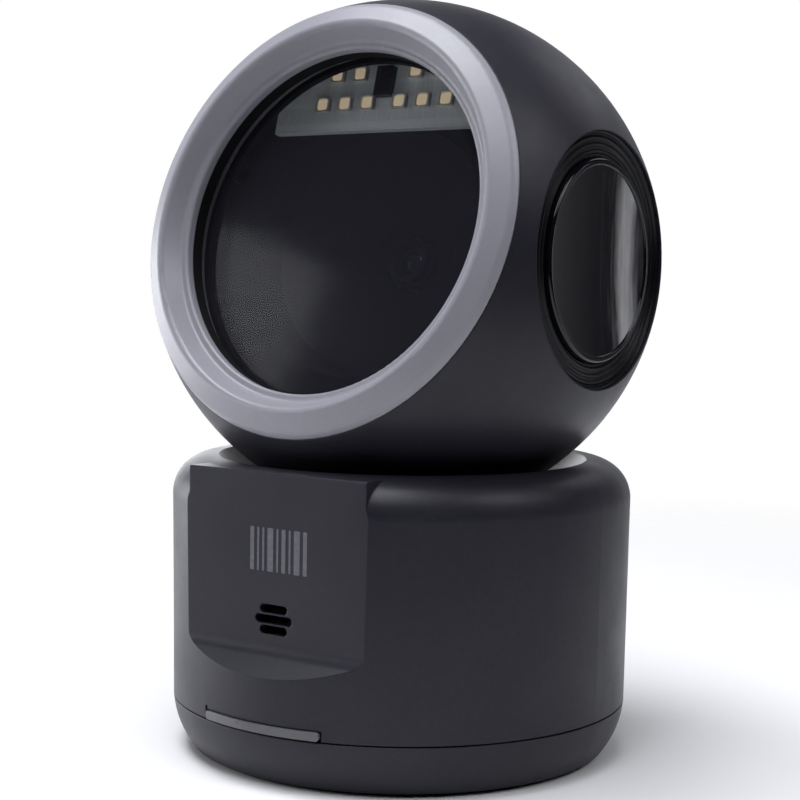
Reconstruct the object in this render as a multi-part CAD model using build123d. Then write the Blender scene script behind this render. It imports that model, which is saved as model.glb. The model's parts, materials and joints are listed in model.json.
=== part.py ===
from build123d import *
import os
from math import asin, atan2, cos, degrees, radians, sin, sqrt

# Hands-free presentation scanner: a ball-shaped head that tilts in the dished top of a round base.
# Millimetres. The origin is the centre of the foot ring's underside, +Z is up, the window
# faces -Y and +X is on the right of someone who faces the window.

# ---- base ----
SEAM_R = 45.0            # housing radius at the seam
SHOULDER_R = 45.4        # housing radius below the rim
SEAM_Z = 10.4            # underside of the housing
RIM_Z = 57.5             # top of the rim
RIM_ROUND = 7.3          # radius of the rim's outer rounding
BROW_HALF, BROW_Z = 20.6, 57.1         # half width and top of the squared rim above the front panel
WALL = 2.4               # moulded wall
PAN_Z = 0.6              # underside of the pan
PAN_FLOOR_Z = 3.0        # inner floor of the pan
PAN_FOOT_R = 41.1        # pan radius at its underside
SEAM_GAP = 0.3           # open line between pan and housing
LIP_OUT_R, LIP_IN_R, LIP_HIGH = 42.3, 40.9, 2.4        # pan's lip inside the housing
FOOT_IN_R, FOOT_OUT_R, FOOT_TOP_Z = 34.0, 40.0, 1.2
PANEL_Y = -40.2          # flat front panel
PANEL_HALF, PANEL_EDGE = 25.0, 0.5
PANEL_LOW_Z = 20.1       # lowest point of the ramp under the panel
RAMP_TOP_Z, RAMP_SLOPE, RAMP_BLEND = 24.4, 0.81, 3.0       # where it starts, its fall, its upper rounding
SLOT_MID_Z, SLOT_PITCH, SLOT_HIGH = 30.2, 1.95, 1.65
SLOT_LENGTHS = (6.4, 8.6, 6.4)
BAR_ANGLE = 17.0         # half the angle that the light bar spans
BAR_Z, BAR_HIGH, BAR_R = 10.5, 1.6, 45.45

# ---- base, inside ----
COLUMN_AT = 20.9         # x and y of the four screw columns
COLUMN_R, COLUMN_TOP_Z, PAD_R, PAD_Z = 3.2, 50.3, 4.2, 5.0
BALLAST_R, BALLAST_HIGH = 33.5, 5.0
BOARD_Z, BOARD_THICK = 13.0, 1.6
BOARD_X, BOARD_FRONT_Y, BOARD_REAR_Y = 17.0, -29.0, 38.5
BOARD_HOLES = [(x, y) for x in (-13.5, 13.5) for y in (-25.0, 21.2)]
SOCKET_FACE_Y, SOCKET_DEEP, SOCKET_WIDE, SOCKET_HIGH = 41.6, 17.6, 15.6, 13.0
CAVITY_WIDE, CAVITY_LOW_Z, CAVITY_HIGH, CAVITY_DEEP = 11.9, 17.0, 7.0, 12.0
CONTACT_COUNT, CONTACT_PITCH, CONTACT_WIDE = 8, 1.02, 0.4
PORT_HALF, PORT_LOW_Z, PORT_HIGH_Z = 6.8, 16.3, 26.9    # housing's opening around the socket
BEEPER_R, BEEPER_DEEP, GASKET_THICK = 6.2, 5.5, 0.9

# ---- tilting head ----
BALL_Z = 96.4            # height of the ball's centre and of the tilt axis
BALL_R = 50.3
REST_TILT = 15.0         # window's upward tilt at rest, degrees
TILT_EACH_WAY = 15.0     # travel from rest, degrees
DISH_GAP = 3.1           # gap between ball and dish
BALL_SEAM = 65.0         # angle of the surfaces' seam, clear of every cut and boss
SPLIT_D = -34.0          # plane between head shell and rear shell, along the window's axis
RING_D, RING_R = 27.85, 41.9
LIP_R, LIP_D, LAND_R, LAND_D = 33.3, 25.4, 34.7, 27.3      # ring's lip over the window, and its flat land
WINDOW_R, WINDOW_BACK_D, WINDOW_THICK = 34.2, 20.6, 2.0
CHAMBER_R, LAMP_SEAT_D = 38.6, 13.9
LAMP_BOARD_THICK = 1.6
BEZEL_SCREW_R, BEZEL_SCREW_ANGLE = 36.6, 22.0
HEAD_BOSS_AT = 21.9      # x and y of the rear shell's four screws
DECODER_D = -26.0        # rear face of the decoder board
SENSOR_D = -12.0         # front face of the camera board
CAMERA_POSTS_AT = 9.5    # x and y of the camera board's four screws
CAMERA_HALF, DECODER_HALF = 12.0, 25.0
LAMP_BOARD_LOW, LAMP_BOARD_HALF = 21.5, 26.0
LAMP_ROWS = {27.0: (3.8, 9.2, 14.6), 33.0: (6.6, 12.1)}    # height: distances from the middle
LAMP_WIDE, LAMP_TALL, LAMP_HIGH = 3.5, 3.0, 0.8
BARREL_R, BARREL_HEAD_R, LENS_R = 3.6, 4.6, 2.6
SHELL_SEAT_D = -35.5     # seat of the rear shell's screw heads
SIDE_FLOOR_X = 42.0      # floor of the recess on each side
SIDE_RECESS_R, SIDE_CAP_R, SIDE_CAP_X = 23.8, 18.9, 44.1
PEGS_AT, PEG_R = 14.0, 1.2             # pegs of the side caps

# ---- tilt joint ----
NECK_X, NECK_Y = 11.0, 5.0           # half sizes of the neck
NECK_TOP_Z = 60.4
FLANGE_X, FLANGE_Y, FLANGE_Z, FLANGE_THICK = 21.0, 13.0, 35.0, 3.0
FLANGE_SCREWS_AT = (17.0, 9.0)
CROSSBAR_THICK = 5.0
YOKE_SCREWS_AT = (8.0, 3.3)
DUCT_X, DUCT_Y = 5.0, 2.6            # half sizes of the cable's way through the neck
ARM_IN_X, ARM_OUT_X, ARM_Y, ARM_EYE_R = 28.0, 31.0, 6.0, 7.0
PIN_R, PIN_HEAD_R, BUSH_R, BUSH_FLANGE_R, BUSH_FLANGE = 2.5, 4.4, 4.0, 5.4, 0.6
WASHER_R, WASHER_THICK = 6.0, 0.8
RUNNING, FITTED = 0.05, 0.03         # radial clearances
CABLE_R, CABLE_BEND = 1.1, 4.4
CABLE_X = 26.7                       # the cable's height along the arm's inner face

HEAD = Pos(0, 0, BALL_Z) * Rot(90 - REST_TILT, 0, 0)   # head frame: x, up, outward through the window
LOW = (Align.CENTER, Align.CENTER, Align.MIN)


# ---- shared shapes ----
def rod(radius, low, high, x=0.0, y=0.0):
    """Cylinder along Z between two heights."""
    return Pos(x, y, low) * Cylinder(radius, high - low, align=LOW)


def cross_rod(radius, near, far, y=0.0, z=0.0):
    """Cylinder along X between two distances from the middle plane."""
    return Pos(near, y, z) * Rot(0, 90, 0) * Cylinder(radius, far - near, align=LOW)


def depth_rod(radius, front, back, x=0.0, z=0.0):
    """Cylinder along Y between two depths."""
    return Pos(x, front, z) * Rot(-90, 0, 0) * Cylinder(radius, back - front, align=LOW)


def block(low, high):
    """Box between two corners."""
    size = [b - a for a, b in zip(low, high)]
    return Pos(*low) * Box(*size, align=(Align.MIN, Align.MIN, Align.MIN))


def turned(*edges, seam=0.0):
    """Solid of revolution about Z of a closed outline in radius and height; the seam is at an angle."""
    return Rot(0, 0, seam) * revolve(Plane.XZ * make_face(edges), Axis.Z)


def tube(inner, outer, low, high):
    """Plain ring about Z."""
    return rod(outer, low, high) - rod(inner, low - 1, high + 1)


def corners(x, y):
    """The four places at plus and minus x and y."""
    return [(x, y), (-x, y), (-x, -y), (x, -y)]


def around(radius, angles):
    """Places on a circle about Z."""
    return [(radius * cos(radians(a)), radius * sin(radians(a))) for a in angles]


def on_sphere(radius, off):
    """Distance from the centre plane at which a sphere has the radius off."""
    return sqrt(radius**2 - off**2)


def crown(radius, edge, pole):
    """Arc from an edge to the axis, on a sphere centred on the axis."""
    rise = pole - edge
    sphere_r = (radius**2 + rise**2) / (2 * abs(rise))
    drop = sphere_r - on_sphere(sphere_r, radius / 2)
    return ThreePointArc((radius, edge), (radius / 2, pole - drop * (1 if rise > 0 else -1)), (0, pole))


def screw(head_r, head_high, shank_r, length, seat_z, x, y, down=True):
    """Pan-head screw with a cross recess; the head's underside is at seat_z."""
    head = rod(head_r, 0, head_high)
    head = chamfer(head.edges().group_by(Axis.Z)[-1], head_high * 0.3)
    for size in ((head_r * 1.1, head_r * 0.26), (head_r * 0.26, head_r * 1.1)):
        head -= Pos(0, 0, head_high) * Box(*size, head_high)
    body = head + rod(shank_r, -length, 0.2)
    if not down:
        body = Rot(180, 0, 0) * body
    return Pos(x, y, seat_z) * body


def swept_cable(points, bends):
    """Round cable along straight runs joined by tangent arcs."""
    path = FilletPolyline(*points, radius=bends) if len(points) > 2 else Line(*points)
    start = Vector(*points[0])
    section = Plane(origin=start, z_dir=Vector(*points[1]) - start) * Circle(CABLE_R)
    return sweep(section, path=path)


def mirrored(shape):
    """The same piece on the left side."""
    return mirror(shape, about=Plane.YZ)


def group(solids):
    """Separate solids kept together in one node."""
    return Compound(children=list(solids))


# ---- base shells ----
def base_housing():
    """Shell with dished top, front panel, sounder slots, cable port and screw columns."""
    crest_r = SHOULDER_R - RIM_ROUND
    round_z = RIM_Z - RIM_ROUND
    diagonal = sqrt(0.5)     # half-way round a quarter arc
    outer = turned(
        Polyline((0, RIM_Z), (0, SEAM_Z), (SEAM_R, SEAM_Z), (SHOULDER_R, round_z)),
        ThreePointArc(
            (SHOULDER_R, round_z),
            (crest_r + RIM_ROUND * diagonal, round_z + RIM_ROUND * diagonal),
            (crest_r, RIM_Z),
        ),
        Line((crest_r, RIM_Z), (0, RIM_Z)),
    )
    outer += block((-BROW_HALF, PANEL_Y - 1, round_z - 4), (BROW_HALF, -30, BROW_Z))
    inner_round = RIM_ROUND - WALL
    under_r = BALL_R + DISH_GAP + WALL - 0.2
    meet_r = crest_r - 0.35
    meet_z = BALL_Z - on_sphere(under_r, meet_r)
    cavity = turned(
        Polyline((0, SEAM_Z - 1), (SEAM_R - WALL, SEAM_Z - 1), (SHOULDER_R - WALL, round_z)),
        ThreePointArc(
            (SHOULDER_R - WALL, round_z),
            (crest_r + inner_round * diagonal, round_z + inner_round * diagonal),
            (crest_r, round_z + inner_round),
        ),
        Line((crest_r, round_z + inner_round), (meet_r, meet_z)),
        crown(meet_r, meet_z, BALL_Z - under_r),
        Line((0, BALL_Z - under_r), (0, SEAM_Z - 1)),
    )
    behind_panel = PANEL_Y + WALL
    cavity -= block((-30, -60, PANEL_LOW_Z - WALL), (30, behind_panel, RIM_Z + 5))
    shell = outer - cavity

    shell += block((-FLANGE_X - 0.5, -FLANGE_Y - 0.5, FLANGE_Z + FLANGE_THICK),
                   (FLANGE_X + 0.5, FLANGE_Y + 0.5, FLANGE_Z + 12))
    for x, y in corners(COLUMN_AT, COLUMN_AT):
        shell += rod(COLUMN_R, PAD_Z, COLUMN_TOP_Z, x, y)
        shell -= rod(1.1, PAD_Z - 1, PAD_Z + 10, x, y)
    cup = depth_rod(BEEPER_R + 1.7, behind_panel - 0.5, behind_panel + 4.2, z=SLOT_MID_Z)
    shell += cup - depth_rod(BEEPER_R + 0.3, behind_panel, behind_panel + 5, z=SLOT_MID_Z)

    shell -= Pos(0, 0, BALL_Z) * Sphere(BALL_R + DISH_GAP)
    shell -= fillet(
        block((-NECK_X - 1, -NECK_Y - 1, 30), (NECK_X + 1, NECK_Y + 1, 60)).edges().filter_by(Axis.Z), 1.5
    )
    for x, y in corners(*FLANGE_SCREWS_AT):
        shell -= rod(1.1, FLANGE_Z + FLANGE_THICK - 1, FLANGE_Z + FLANGE_THICK + 5, x, y)
    shell -= panel_cutter()
    shell -= group(sounder_slots())
    shell -= fillet(
        block((-PORT_HALF, 38, PORT_LOW_Z), (PORT_HALF, 50, PORT_HIGH_Z)).edges().filter_by(Axis.Y), 1.0
    )
    shell -= arc_band(SEAM_R - 5, SEAM_R + 5, BAR_ANGLE + 0.35, SEAM_Z - 1, BAR_Z + BAR_HIGH + 0.15)
    left_end = -90 - BAR_ANGLE - 0.5
    notch_x, notch_y = around(SEAM_R, [left_end])[0]
    shell -= Pos(notch_x, notch_y, SEAM_Z) * Rot(0, 0, left_end) * Box(8, 0.7, 5.0)
    return shell


def panel_cutter():
    """What the flat front panel and the ramp under it take off the round housing."""
    edge_y, edge_z = PANEL_Y + PANEL_EDGE, BROW_Z - PANEL_EDGE
    clear_y, clear_z = PANEL_Y - 10, RIM_Z + 5
    ramp_end_z = RAMP_TOP_Z - RAMP_SLOPE * (PANEL_Y - clear_y)
    outline = make_face([
        Polyline((PANEL_Y, edge_z), (PANEL_Y, RAMP_TOP_Z), (clear_y, ramp_end_z), (clear_y, clear_z),
                 (edge_y, clear_z), (edge_y, BROW_Z)),
        RadiusArc((edge_y, BROW_Z), (PANEL_Y, edge_z), -PANEL_EDGE),
    ])
    inner_corner = [v for v in outline.vertices() if abs(v.X - PANEL_Y) + abs(v.Y - RAMP_TOP_Z) < 0.01]
    outline = fillet(inner_corner, RAMP_BLEND)
    return Pos(-PANEL_HALF, 0, 0) * extrude(Plane.YZ * outline, 2 * PANEL_HALF)


def sounder_slots():
    """Round-ended slots through the panel in front of the sounder."""
    for row, length in zip((1, 0, -1), SLOT_LENGTHS):
        start = (0, PANEL_Y - 2, SLOT_MID_Z + row * SLOT_PITCH)
        place = Plane(origin=start, x_dir=(1, 0, 0), z_dir=(0, 1, 0))
        yield extrude(place * SlotOverall(length, SLOT_HIGH), WALL + 2.5)


def arc_band(inner, outer, half_angle, low, high):
    """Part of a ring about Z, centred on the front."""
    reach = outer + 10
    wedge_points = [(0, 0)] + around(reach, [-90 - half_angle, -90, -90 + half_angle])
    wedge = Pos(0, 0, low) * extrude(make_face(Polyline(*wedge_points, close=True)), high - low)
    return tube(inner, outer, low, high) & wedge


def base_pan():
    """Bottom shell with the foot groove, screw pads, and a lip inside the housing."""
    top = SEAM_Z - SEAM_GAP
    lip_top = top + LIP_HIGH
    pan = turned(
        Polyline((0, PAN_FLOOR_Z), (0, PAN_Z), (PAN_FOOT_R, PAN_Z)),
        ThreePointArc((PAN_FOOT_R, PAN_Z), (43.75, 4.95), (SEAM_R, top)),
        Polyline((SEAM_R, top), (LIP_OUT_R, top), (LIP_OUT_R, lip_top), (LIP_IN_R, lip_top),
                 (LIP_IN_R, PAN_FLOOR_Z + 4), (LIP_IN_R - 1.7, PAN_FLOOR_Z), (0, PAN_FLOOR_Z)),
    )
    pan = fillet([e for e in pan.edges() if abs(e.center().Z - PAN_Z) < 0.01 and e.length > 250], 0.8)
    pan -= tube(FOOT_IN_R - 0.1, FOOT_OUT_R + 0.1, PAN_Z - 1, FOOT_TOP_Z)
    for x, y in corners(COLUMN_AT, COLUMN_AT):
        pan += rod(PAD_R, PAN_FLOOR_Z - 0.5, PAD_Z, x, y)
        pan -= rod(2.6, PAN_Z - 1, PAN_Z + 2.2, x, y)
        pan -= rod(1.4, 0, PAD_Z + 1, x, y)
    for x, y in BOARD_HOLES:
        pan -= rod(1.3, PAN_FLOOR_Z - 1.2, PAN_FLOOR_Z + 1, x, y)
    pan -= arc_band(LIP_IN_R - 2, SEAM_R + 5, BAR_ANGLE + 3, top, top + 5)
    return pan


def foot_ring():
    """Rubber ring in the pan's groove, proud of the pan."""
    ring = tube(FOOT_IN_R, FOOT_OUT_R, 0, FOOT_TOP_Z)
    return chamfer(ring.edges().group_by(Axis.Z)[0], 0.3)


def light_bar():
    """Curved light pipe with a tongue that reaches the lights on the board."""
    bar = arc_band(SEAM_R - WALL, BAR_R, BAR_ANGLE, BAR_Z, BAR_Z + BAR_HIGH)
    deep = BAR_R - SEAM_R + WALL
    bar = fillet([e for e in bar.edges() if abs(e.length - deep) < 0.01], BAR_HIGH * 0.45)
    return bar + block((-8, -SEAM_R + WALL - 0.5, BAR_Z + 0.2), (8, -33.4, BAR_Z + BAR_HIGH - 0.2))


# ---- inside the base ----
def ballast_plate():
    """Steel disc on the pan's floor, clear of pads, clamped by the board's spacers."""
    plate = rod(BALLAST_R, PAN_FLOOR_Z, PAN_FLOOR_Z + BALLAST_HIGH)
    for x, y in corners(COLUMN_AT, COLUMN_AT):
        plate -= rod(PAD_R + 0.6, 0, 20, x, y)
    for x, y in BOARD_HOLES:
        plate -= rod(1.6, 0, 20, x, y)
    return plate


def base_spacers():
    """Hexagonal posts that clamp the ballast and carry the board."""
    seat = PAN_FLOOR_Z + BALLAST_HIGH
    for x, y in BOARD_HOLES:
        post = Pos(x, y, seat) * extrude(RegularPolygon(2.9, 6), BOARD_Z - seat)
        post += rod(1.25, PAN_FLOOR_Z - 1.1, seat + 0.1, x, y)
        yield post - rod(1.05, BOARD_Z - 3.6, BOARD_Z + 1, x, y)


def base_board():
    """Interface board."""
    board = block((-BOARD_X, BOARD_FRONT_Y, BOARD_Z), (BOARD_X, BOARD_REAR_Y, BOARD_Z + BOARD_THICK))
    board = fillet(board.edges().filter_by(Axis.Z), 1.5)
    for x, y in BOARD_HOLES:
        board -= rod(1.35, 0, 20, x, y)
    return board


def base_chips():
    """Packages on the interface board."""
    top = BOARD_Z + BOARD_THICK
    for x, y, wide, deep, high in ((-8.5, -16, 9, 9, 1.3), (7.5, -18, 5, 6.2, 1.5),
                                   (10, -6, 4, 4, 2.2), (-9.5, 9, 6, 5, 1.2), (9.5, 10, 7.3, 4.3, 1.9)):
        yield Pos(x, y, top) * Box(wide, deep, high, align=LOW)


def status_leds():
    """Lights under the board's front edge, facing the light bar's tongue."""
    for x in (-5.5, 0, 5.5):
        yield block((x - 1.4, BOARD_FRONT_Y - 2.0, BOARD_Z - 1.2), (x + 1.4, BOARD_FRONT_Y + 0.8, BOARD_Z))


def interface_socket():
    """Modular socket with its plug cavity and latch slot, open at the rear."""
    low_z = BOARD_Z + BOARD_THICK
    body = block((-SOCKET_WIDE / 2, SOCKET_FACE_Y - SOCKET_DEEP, low_z),
                 (SOCKET_WIDE / 2, SOCKET_FACE_Y, low_z + SOCKET_HIGH))
    mouth_y = SOCKET_FACE_Y - CAVITY_DEEP
    high_z = CAVITY_LOW_Z + CAVITY_HIGH
    body -= block((-CAVITY_WIDE / 2, mouth_y, CAVITY_LOW_Z), (CAVITY_WIDE / 2, SOCKET_FACE_Y + 1, high_z))
    body -= block((-3.1, mouth_y + 3, high_z - 1), (3.1, SOCKET_FACE_Y + 1, high_z + 1.9))
    return body


def socket_contacts():
    """Spring wires that rise from the cavity's floor."""
    start_y, end_y = SOCKET_FACE_Y - 3.0, SOCKET_FACE_Y - CAVITY_DEEP + 1.0
    for index in range(CONTACT_COUNT):
        x = (index - (CONTACT_COUNT - 1) / 2) * CONTACT_PITCH
        wire = make_face(Polyline((start_y, CAVITY_LOW_Z), (start_y, CAVITY_LOW_Z + 0.4),
                                  (end_y, CAVITY_LOW_Z + 1.9), (end_y, CAVITY_LOW_Z + 1.5),
                                  (start_y - 2, CAVITY_LOW_Z), close=True))
        yield Pos(x - CONTACT_WIDE / 2, 0, 0) * extrude(Plane.YZ * wire, CONTACT_WIDE)


def beeper():
    """Round sounder with its port facing the slots."""
    front = PANEL_Y + WALL + GASKET_THICK
    case = depth_rod(BEEPER_R, front, front + BEEPER_DEEP, z=SLOT_MID_Z)
    return case - depth_rod(1.2, front - 1, front + 1.2, z=SLOT_MID_Z)


def beeper_gasket():
    """Foam ring between sounder and panel."""
    front = PANEL_Y + WALL
    ring = depth_rod(BEEPER_R, front, front + GASKET_THICK, z=SLOT_MID_Z)
    return ring - depth_rod(BEEPER_R - 1.5, front - 1, front + 2, z=SLOT_MID_Z)


# ---- tilt joint, fixed side ----
def tilt_neck():
    """Hollow post on a flange under the dish."""
    flange = block((-FLANGE_X, -FLANGE_Y, FLANGE_Z), (FLANGE_X, FLANGE_Y, FLANGE_Z + FLANGE_THICK))
    flange = fillet(flange.edges().filter_by(Axis.Z), 3.0)
    post = block((-NECK_X, -NECK_Y, FLANGE_Z), (NECK_X, NECK_Y, NECK_TOP_Z))
    neck = flange + fillet(post.edges().filter_by(Axis.Z), 1.2)
    neck -= block((-DUCT_X, -DUCT_Y, FLANGE_Z - 1), (DUCT_X, DUCT_Y, NECK_TOP_Z + 1))
    for x, y in corners(*FLANGE_SCREWS_AT):
        neck -= rod(1.4, FLANGE_Z - 1, FLANGE_Z + FLANGE_THICK + 1, x, y)
    for x, y in corners(*YOKE_SCREWS_AT):
        neck -= rod(0.9, NECK_TOP_Z - 8, NECK_TOP_Z + 1, x, y)
    return neck


def tilt_yoke():
    """Crossbar with two arms that reach the tilt axis, and a channel for the cable."""
    top = NECK_TOP_Z + CROSSBAR_THICK
    yoke = block((-ARM_OUT_X, -ARM_Y, NECK_TOP_Z), (ARM_OUT_X, ARM_Y, top))
    for side in (-1, 1):
        near, far = sorted((side * ARM_IN_X, side * ARM_OUT_X))
        yoke += block((near, -ARM_Y, NECK_TOP_Z), (far, ARM_Y, BALL_Z))
        yoke += cross_rod(ARM_EYE_R, near, far, z=BALL_Z)
        yoke -= cross_rod(BUSH_R + FITTED, near - 1, far + 1, z=BALL_Z)
    yoke -= block((-DUCT_X, -DUCT_Y, NECK_TOP_Z - 1), (DUCT_X, DUCT_Y, top + 1))
    yoke -= block((-DUCT_X, -1.5, NECK_TOP_Z + 1.7), (ARM_IN_X, 1.5, top + 1))
    for x, y in corners(*YOKE_SCREWS_AT):
        yoke -= rod(1.1, NECK_TOP_Z - 1, top + 1, x, y)
        yoke -= rod(1.8, top - 1.5, top + 1, x, y)
    return yoke


def pivot_bush():
    """Flanged bush in the right arm."""
    sleeve = cross_rod(BUSH_R, ARM_IN_X, ARM_OUT_X, z=BALL_Z)
    sleeve += cross_rod(BUSH_FLANGE_R, ARM_OUT_X, ARM_OUT_X + BUSH_FLANGE, z=BALL_Z)
    return sleeve - cross_rod(PIN_R + RUNNING, ARM_IN_X - 1, ARM_OUT_X + 3, z=BALL_Z)


def friction_washer():
    """Washer squeezed between the bush and the head's boss."""
    near = ARM_OUT_X + BUSH_FLANGE
    ring = cross_rod(WASHER_R, near, near + WASHER_THICK, z=BALL_Z)
    return ring - cross_rod(PIN_R + RUNNING, near - 1, near + 3, z=BALL_Z)


def neck_cable():
    """Cable from the board up the neck, along the right arm and in to the tilt axis."""
    groove_z = NECK_TOP_Z + 1.7 + CABLE_R + 0.2
    points = [(0, 0, BOARD_Z + BOARD_THICK + 4.8), (0, 0, groove_z), (CABLE_X, 0, groove_z),
              (CABLE_X, 0, BALL_Z), (CABLE_X - CABLE_BEND - 0.3, 0, BALL_Z)]
    return swept_cable(points, CABLE_BEND)


def neck_cable_plug():
    """Board connector at the foot of the neck cable."""
    low_z = BOARD_Z + BOARD_THICK
    plug = block((-5, -3.2, low_z), (5, 3.2, low_z + 4.8))
    return chamfer(plug.edges().group_by(Axis.Z)[-1], 0.5)


# ---- head, in the head frame: x, y up, z outward through the window ----
def slot_sector():
    """The space that the neck sweeps through the shell, over the whole tilt."""
    reach = degrees(asin((NECK_Y + 0.8) / BALL_R))
    first, last = -reach, REST_TILT + TILT_EACH_WAY + reach
    angles = [first + (last - first) * k / 6 for k in range(7)]
    far = [(-56 * sin(radians(a)), -56 * cos(radians(a))) for a in angles]
    near = [(-43 * sin(radians(a)), -43 * cos(radians(a))) for a in reversed(angles)]
    half = NECK_X + 0.9
    outline = Plane(origin=(-half, 0, 0), x_dir=(0, 0, 1), z_dir=(-1, 0, 0))
    flat = outline * make_face(Polyline(*far, *near, close=True))
    return extrude(flat, -2 * half)


def ball_zone(low, high):
    """Hollow slice of the ball between two planes across the window's axis."""
    inner = BALL_R - WALL
    mid = (low + high) / 2
    return turned(
        ThreePointArc((on_sphere(BALL_R, low), low), (on_sphere(BALL_R, mid), mid),
                      (on_sphere(BALL_R, high), high)),
        Line((on_sphere(BALL_R, high), high), (on_sphere(inner, high), high)),
        ThreePointArc((on_sphere(inner, high), high), (on_sphere(inner, mid), mid),
                      (on_sphere(inner, low), low)),
        Line((on_sphere(inner, low), low), (on_sphere(BALL_R, low), low)),
        seam=BALL_SEAM,
    )


def head_shell():
    """Ball shell with side recesses, pivot bosses, the neck's slot and the rear screw bosses."""
    shell = ball_zone(SPLIT_D, RING_D - 0.12)
    boss_x = ARM_OUT_X + BUSH_FLANGE + WASHER_THICK
    for side in (-1, 1):
        floor_near, floor_far = sorted((side * (SIDE_FLOOR_X - WALL), side * SIDE_FLOOR_X))
        boss_near, boss_far = sorted((side * boss_x, side * (SIDE_FLOOR_X - WALL / 2)))
        cut_near, cut_far = sorted((side * SIDE_FLOOR_X, side * 60))
        head_near, head_far = sorted((side * (SIDE_FLOOR_X - 1.8), side * 60))
        hole_near, hole_far = sorted((side * (boss_x - 1), side * 60))
        shell += cross_rod(26.8, floor_near, floor_far) + cross_rod(WASHER_R, boss_near, boss_far)
        shell -= cross_rod(SIDE_RECESS_R, cut_near, cut_far)
        shell -= cross_rod(PIN_HEAD_R + 0.2, head_near, head_far)
        shell -= cross_rod(PIN_R + FITTED, hole_near, hole_far)
        for y, z in cap_peg_places():
            shell -= cross_rod(PEG_R + RUNNING, *sorted((side * (SIDE_FLOOR_X - 1.9), side * 60)), y, z)
    shell -= slot_sector()
    within = Sphere(BALL_R - WALL / 2)
    for x, y in corners(HEAD_BOSS_AT, HEAD_BOSS_AT):
        boss = rod(3.4, SPLIT_D, DECODER_D, x, y)
        web = block((0, -1.2, SPLIT_D), (18, 1.2, DECODER_D - 2))
        shell += (boss + Pos(x, y, 0) * Rot(0, 0, degrees(atan2(y, x))) * web) & within
        shell -= rod(1.15, SPLIT_D - 1, SPLIT_D + 4.2, x, y) + rod(0.95, DECODER_D - 3.4, DECODER_D + 1, x, y)
    return shell


def rear_shell():
    """Back of the ball, with recessed screw holes."""
    low, inner, gap = -BALL_R, BALL_R - WALL, 0.15
    top = SPLIT_D - gap
    mid, inner_mid = (low + top) / 2 - 2, (-inner + top) / 2 - 2
    shell = turned(
        ThreePointArc((0, low), (on_sphere(BALL_R, mid), mid), (on_sphere(BALL_R, top), top)),
        Line((on_sphere(BALL_R, top), top), (on_sphere(inner, top), top)),
        ThreePointArc((on_sphere(inner, top), top), (on_sphere(inner, inner_mid), inner_mid), (0, -inner)),
        Line((0, -inner), (0, low)),
        seam=BALL_SEAM,
    )
    within = Sphere(BALL_R - 0.4)
    for x, y in corners(HEAD_BOSS_AT, HEAD_BOSS_AT):
        shell += rod(4.0, -BALL_R, top, x, y) & within
        shell -= rod(2.7, -BALL_R - 1, SHELL_SEAT_D, x, y)
        shell -= rod(1.4, -BALL_R, SPLIT_D + 1, x, y)
    return shell


def bezel_ring():
    """Light ring with a flared mouth, a lip over the window and snap tabs behind the shell's edge."""
    outline = make_face(Polyline(
        (RING_R, RING_D), (41.1, 29.1), (37.0, 31.35), (LAND_R, LAND_D), (LIP_R, LAND_D), (LIP_R, LIP_D),
        (WINDOW_R + 0.2, LIP_D), (WINDOW_R + 0.2, WINDOW_BACK_D), (CHAMBER_R + 0.3, WINDOW_BACK_D),
        (CHAMBER_R + 0.3, RING_D), close=True))
    bends = {(41.1, 29.1): 1.6, (37.0, 31.35): 1.1, (LAND_R, LAND_D): 0.8, (LIP_R, LAND_D): 0.6}
    for (r, d), radius in bends.items():
        corner = [v for v in outline.vertices() if abs(v.X - r) < 0.01 and abs(v.Y - d) < 0.01]
        outline = fillet(corner, radius)
    ring = revolve(Plane.XZ * outline, Axis.Z)
    for angle in range(30, 390, 60):
        tab = Rot(0, 0, angle) * block((38, -2.6, 24.4), (39.75, 2.6, 26.2))
        ring += tab
    for x, y in around(BEZEL_SCREW_R, screw_angles()):
        ring -= rod(0.95, WINDOW_BACK_D - 1, 26.4, x, y)
    return ring


def screw_angles():
    """Angles of the four screws that hold bezel and chamber together."""
    return [BEZEL_SCREW_ANGLE, 180 - BEZEL_SCREW_ANGLE, 180 + BEZEL_SCREW_ANGLE, -BEZEL_SCREW_ANGLE]


def scan_window():
    """Round tinted window."""
    pane = rod(WINDOW_R, WINDOW_BACK_D, WINDOW_BACK_D + WINDOW_THICK)
    return chamfer(pane.edges().group_by(Axis.Z)[-1], 0.25)


def optical_chamber():
    """Black funnel behind the window, with a seat for the lamp board and posts for the camera."""
    back_d = -4.8
    funnel = turned(Polyline(
        (33.3, WINDOW_BACK_D), (33.3, 19.2), (CHAMBER_R - 1.5, 18.4), (CHAMBER_R - 1.5, LAMP_SEAT_D),
        (27.0, LAMP_SEAT_D), (24.4, 8.4), (9.2, -3.0), (6.2, -3.0), (6.2, back_d), (10.8, back_d),
        (25.8, 6.9), (28.2, 12.1), (CHAMBER_R, 12.1), (CHAMBER_R, WINDOW_BACK_D), close=True))
    for x, y in around(BEZEL_SCREW_R, screw_angles()):
        funnel += rod(2.0, 12.1, WINDOW_BACK_D, x, y)
        funnel -= rod(1.15, 11, WINDOW_BACK_D + 1, x, y)
    for x, y in corners(CAMERA_POSTS_AT, CAMERA_POSTS_AT):
        funnel += rod(2.1, SENSOR_D, -2.5, x, y)
        funnel -= rod(0.8, SENSOR_D - 1, SENSOR_D + 5, x, y)
    return funnel


def illumination_board():
    """Pale board across the top of the chamber."""
    segment = rod(CHAMBER_R - 1.7, LAMP_SEAT_D, LAMP_SEAT_D + LAMP_BOARD_THICK)
    return segment & block((-LAMP_BOARD_HALF, LAMP_BOARD_LOW, 0), (LAMP_BOARD_HALF, 50, 30))


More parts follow.
